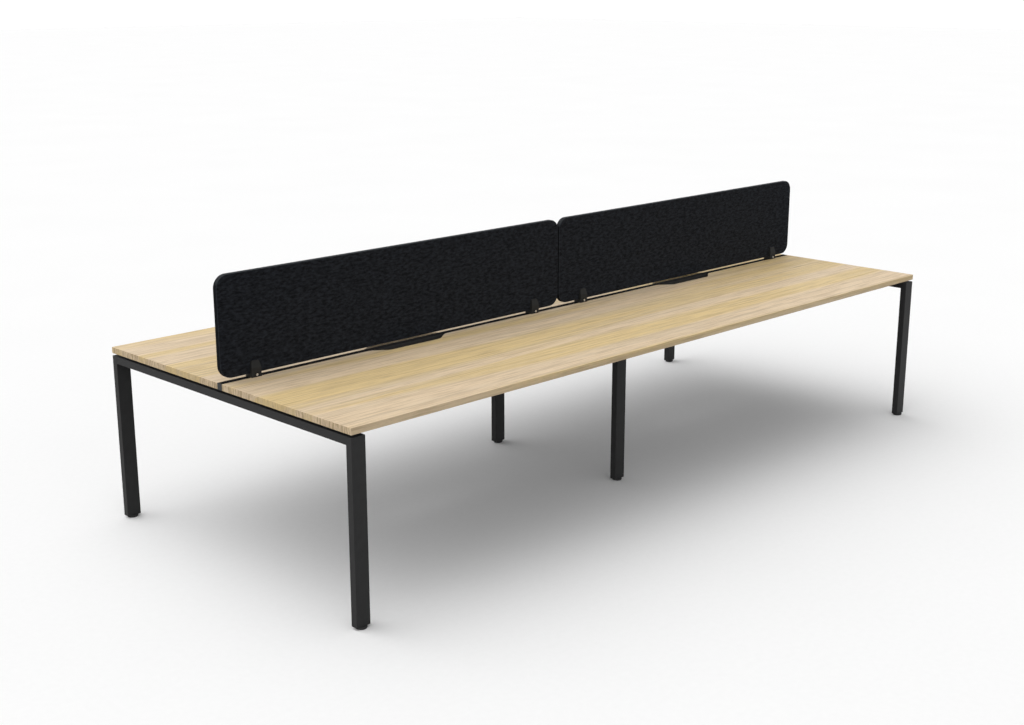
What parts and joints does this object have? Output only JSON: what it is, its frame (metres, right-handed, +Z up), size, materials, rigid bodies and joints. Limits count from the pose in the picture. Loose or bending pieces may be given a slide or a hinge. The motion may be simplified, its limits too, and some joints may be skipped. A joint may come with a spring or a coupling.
{
  "type": "four-person workstation",
  "caption": "Bench workstation with back-to-back oak-look tops on black portal frames, cable scallops along the spine and rounded felt screens between the rows.",
  "frame": {"origin": "on the floor below the middle of the workstation", "axes": "+X along the length to the right, +Y from the front row to the rear row, +Z up"},
  "size_m": [3.6, 1.544, 1.1325],
  "materials": {
    "oak_board": "pale oak decor on board, satin",
    "black_powder_coat": "fine matt black powder coat on steel",
    "black_rail": "satin black",
    "charcoal_felt": "pressed charcoal felt",
    "black_plastic": "moulded black plastic",
    "black_bracket": "satin black, slightly warm",
    "zinc_steel": "zinc plated",
    "bright_steel": "bright nickel"
  },
  "bodies": {
    "desk": {"beam_bolts": "zinc_steel", "bracket_base_left_inner": "black_bracket", "bracket_base_left_outer": "black_bracket", "bracket_base_right_inner": "black_bracket", "bracket_base_right_outer": "black_bracket", "bracket_jaw_left_inner_front": "black_bracket", "bracket_jaw_left_inner_rear": "black_bracket", "bracket_jaw_left_outer_front": "black_bracket", "bracket_jaw_left_outer_rear": "black_bracket", "bracket_jaw_right_inner_front": "black_bracket", "bracket_jaw_right_inner_rear": "black_bracket", "bracket_jaw_right_outer_front": "black_bracket", "bracket_jaw_right_outer_rear": "black_bracket", "clamp_screws": "bright_steel", "cross_beam_left": "black_powder_coat", "cross_beam_middle": "black_powder_coat", "cross_beam_right": "black_powder_coat", "desktop_front_left": "oak_board", "desktop_front_right": "oak_board", "desktop_rear_left": "oak_board", "desktop_rear_right": "oak_board", "joining_plate_left_inner": "black_powder_coat", "joining_plate_left_outer": "black_powder_coat", "joining_plate_right_inner": "black_powder_coat", "joining_plate_right_outer": "black_powder_coat", "leg_left_front": "black_powder_coat", "leg_left_rear": "black_powder_coat", "leg_middle_front": "black_powder_coat", "leg_middle_rear": "black_powder_coat", "leg_plugs": "black_plastic", "leg_right_front": "black_powder_coat", "leg_right_rear": "black_powder_coat", "long_beam_front_left": "black_powder_coat", "long_beam_front_right": "black_powder_coat", "long_beam_rear_left": "black_powder_coat", "long_beam_rear_right": "black_powder_coat", "rail_bolts": "zinc_steel", "rail_cap_left": "black_plastic", "rail_cap_right": "black_plastic", "rail_nuts": "zinc_steel", "screen_left": "charcoal_felt", "screen_right": "charcoal_felt", "spine_rail_left": "black_rail", "spine_rail_right": "black_rail", "top_screws": "zinc_steel", "top_spacers": "black_plastic"},
    "foot_left_front": {"foot_pad_left_front": "black_plastic", "foot_stem_left_front": "zinc_steel"},
    "foot_left_rear": {"foot_pad_left_rear": "black_plastic", "foot_stem_left_rear": "zinc_steel"},
    "foot_middle_front": {"foot_pad_middle_front": "black_plastic", "foot_stem_middle_front": "zinc_steel"},
    "foot_middle_rear": {"foot_pad_middle_rear": "black_plastic", "foot_stem_middle_rear": "zinc_steel"},
    "foot_right_front": {"foot_pad_right_front": "black_plastic", "foot_stem_right_front": "zinc_steel"},
    "foot_right_rear": {"foot_pad_right_rear": "black_plastic", "foot_stem_right_rear": "zinc_steel"}
  },
  "joints": [
    {"name": "foot_left_front_levelling", "type": "slide", "parent": "desk", "child": "foot_left_front", "axis": [0, 0, -1], "range_m": [0, 0.015]},
    {"name": "foot_left_rear_levelling", "type": "slide", "parent": "desk", "child": "foot_left_rear", "axis": [0, 0, -1], "range_m": [0, 0.015]},
    {"name": "foot_middle_front_levelling", "type": "slide", "parent": "desk", "child": "foot_middle_front", "axis": [0, 0, -1], "range_m": [0, 0.015]},
    {"name": "foot_middle_rear_levelling", "type": "slide", "parent": "desk", "child": "foot_middle_rear", "axis": [0, 0, -1], "range_m": [0, 0.015]},
    {"name": "foot_right_front_levelling", "type": "slide", "parent": "desk", "child": "foot_right_front", "axis": [0, 0, -1], "range_m": [0, 0.015]},
    {"name": "foot_right_rear_levelling", "type": "slide", "parent": "desk", "child": "foot_right_rear", "axis": [0, 0, -1], "range_m": [0, 0.015]}
  ]
}
